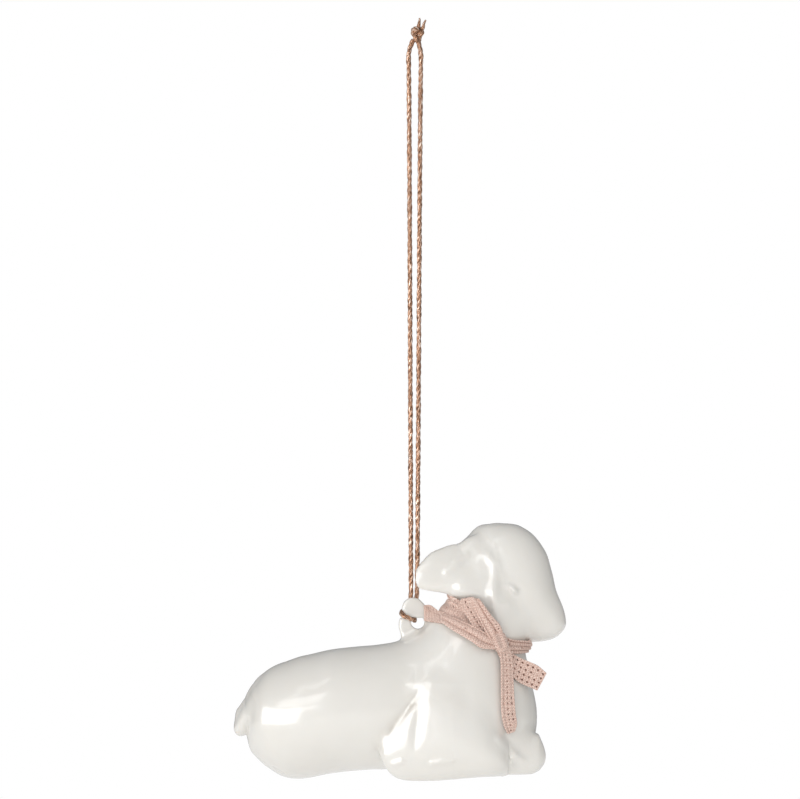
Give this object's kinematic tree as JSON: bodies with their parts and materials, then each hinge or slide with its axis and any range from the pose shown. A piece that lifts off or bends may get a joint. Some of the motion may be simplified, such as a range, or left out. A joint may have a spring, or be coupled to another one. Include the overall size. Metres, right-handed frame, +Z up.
{
  "type": "hanging lamb figurine",
  "caption": "Glazed porcelain lamb lying with its head raised, hung level from a doubled cord through an eyelet at its withers, with a knitted ribbon bow at the neck.",
  "frame": {"origin": "inner top of the cord loop, where a hook or twig carries it", "axes": "+Z up, +X the way the lamb looks, the bow on the -Y side"},
  "size_m": [0.0662, 0.0278, 0.1525],
  "materials": {
    "porcelain": "gloss",
    "ribbon": "matte",
    "cord": "satin"
  },
  "bodies": {
    "cord": {"cord_strands": "cord", "cord_knot": "cord", "cord_ends": "cord"},
    "figure": {"body_casting": "porcelain", "head_casting": "porcelain", "ear_near": "porcelain", "ear_far": "porcelain", "hanging_eyelet": "porcelain", "bow_knot": "ribbon", "ribbon_collar": "ribbon", "bow_loop_back": "ribbon", "bow_loop_upper": "ribbon", "bow_tail_long": "ribbon", "bow_tail_side": "ribbon", "cord_hitch": "cord"}
  },
  "joints": [
    {"name": "swing_on_cord", "type": "hinge", "parent": "cord", "child": "figure", "pos_m": [0, 0.0022, -0.1092], "axis": [0, 1, 0], "range_deg": [-35, 75]}
  ]
}
